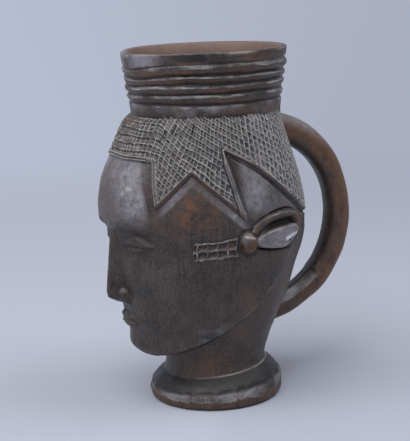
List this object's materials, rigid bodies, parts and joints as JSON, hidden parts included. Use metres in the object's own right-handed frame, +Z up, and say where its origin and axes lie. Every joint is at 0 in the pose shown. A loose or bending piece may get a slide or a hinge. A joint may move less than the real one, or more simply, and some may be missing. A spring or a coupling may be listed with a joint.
{
  "type": "palm wine bowl",
  "caption": "Head-shaped wooden drinking cup on a round foot, with a ringed collar round its mouth and a loop handle behind.",
  "frame": {"origin": "centre of the foot's underside, where it rests on the table", "axes": "+Z up along the mouth's axis, the face looks along -Y, the handle is at +Y, the head's left side is +X"},
  "size_m": [0.1198, 0.168, 0.22],
  "materials": {
    "collar_wood": "dark patinated hardwood, hand polished, worn lighter on the ring crests",
    "head_wood": "dark patinated hardwood, handled smooth, with a matt cut hair pattern",
    "handle_wood": "dark patinated hardwood, worn brown where it is held",
    "foot_wood": "dark patinated hardwood with worn lower edge"
  },
  "bodies": {
    "root": {"rim_collar": "collar_wood", "bowl_head": "head_wood", "handle": "handle_wood", "foot": "foot_wood"}
  },
  "joints": []
}
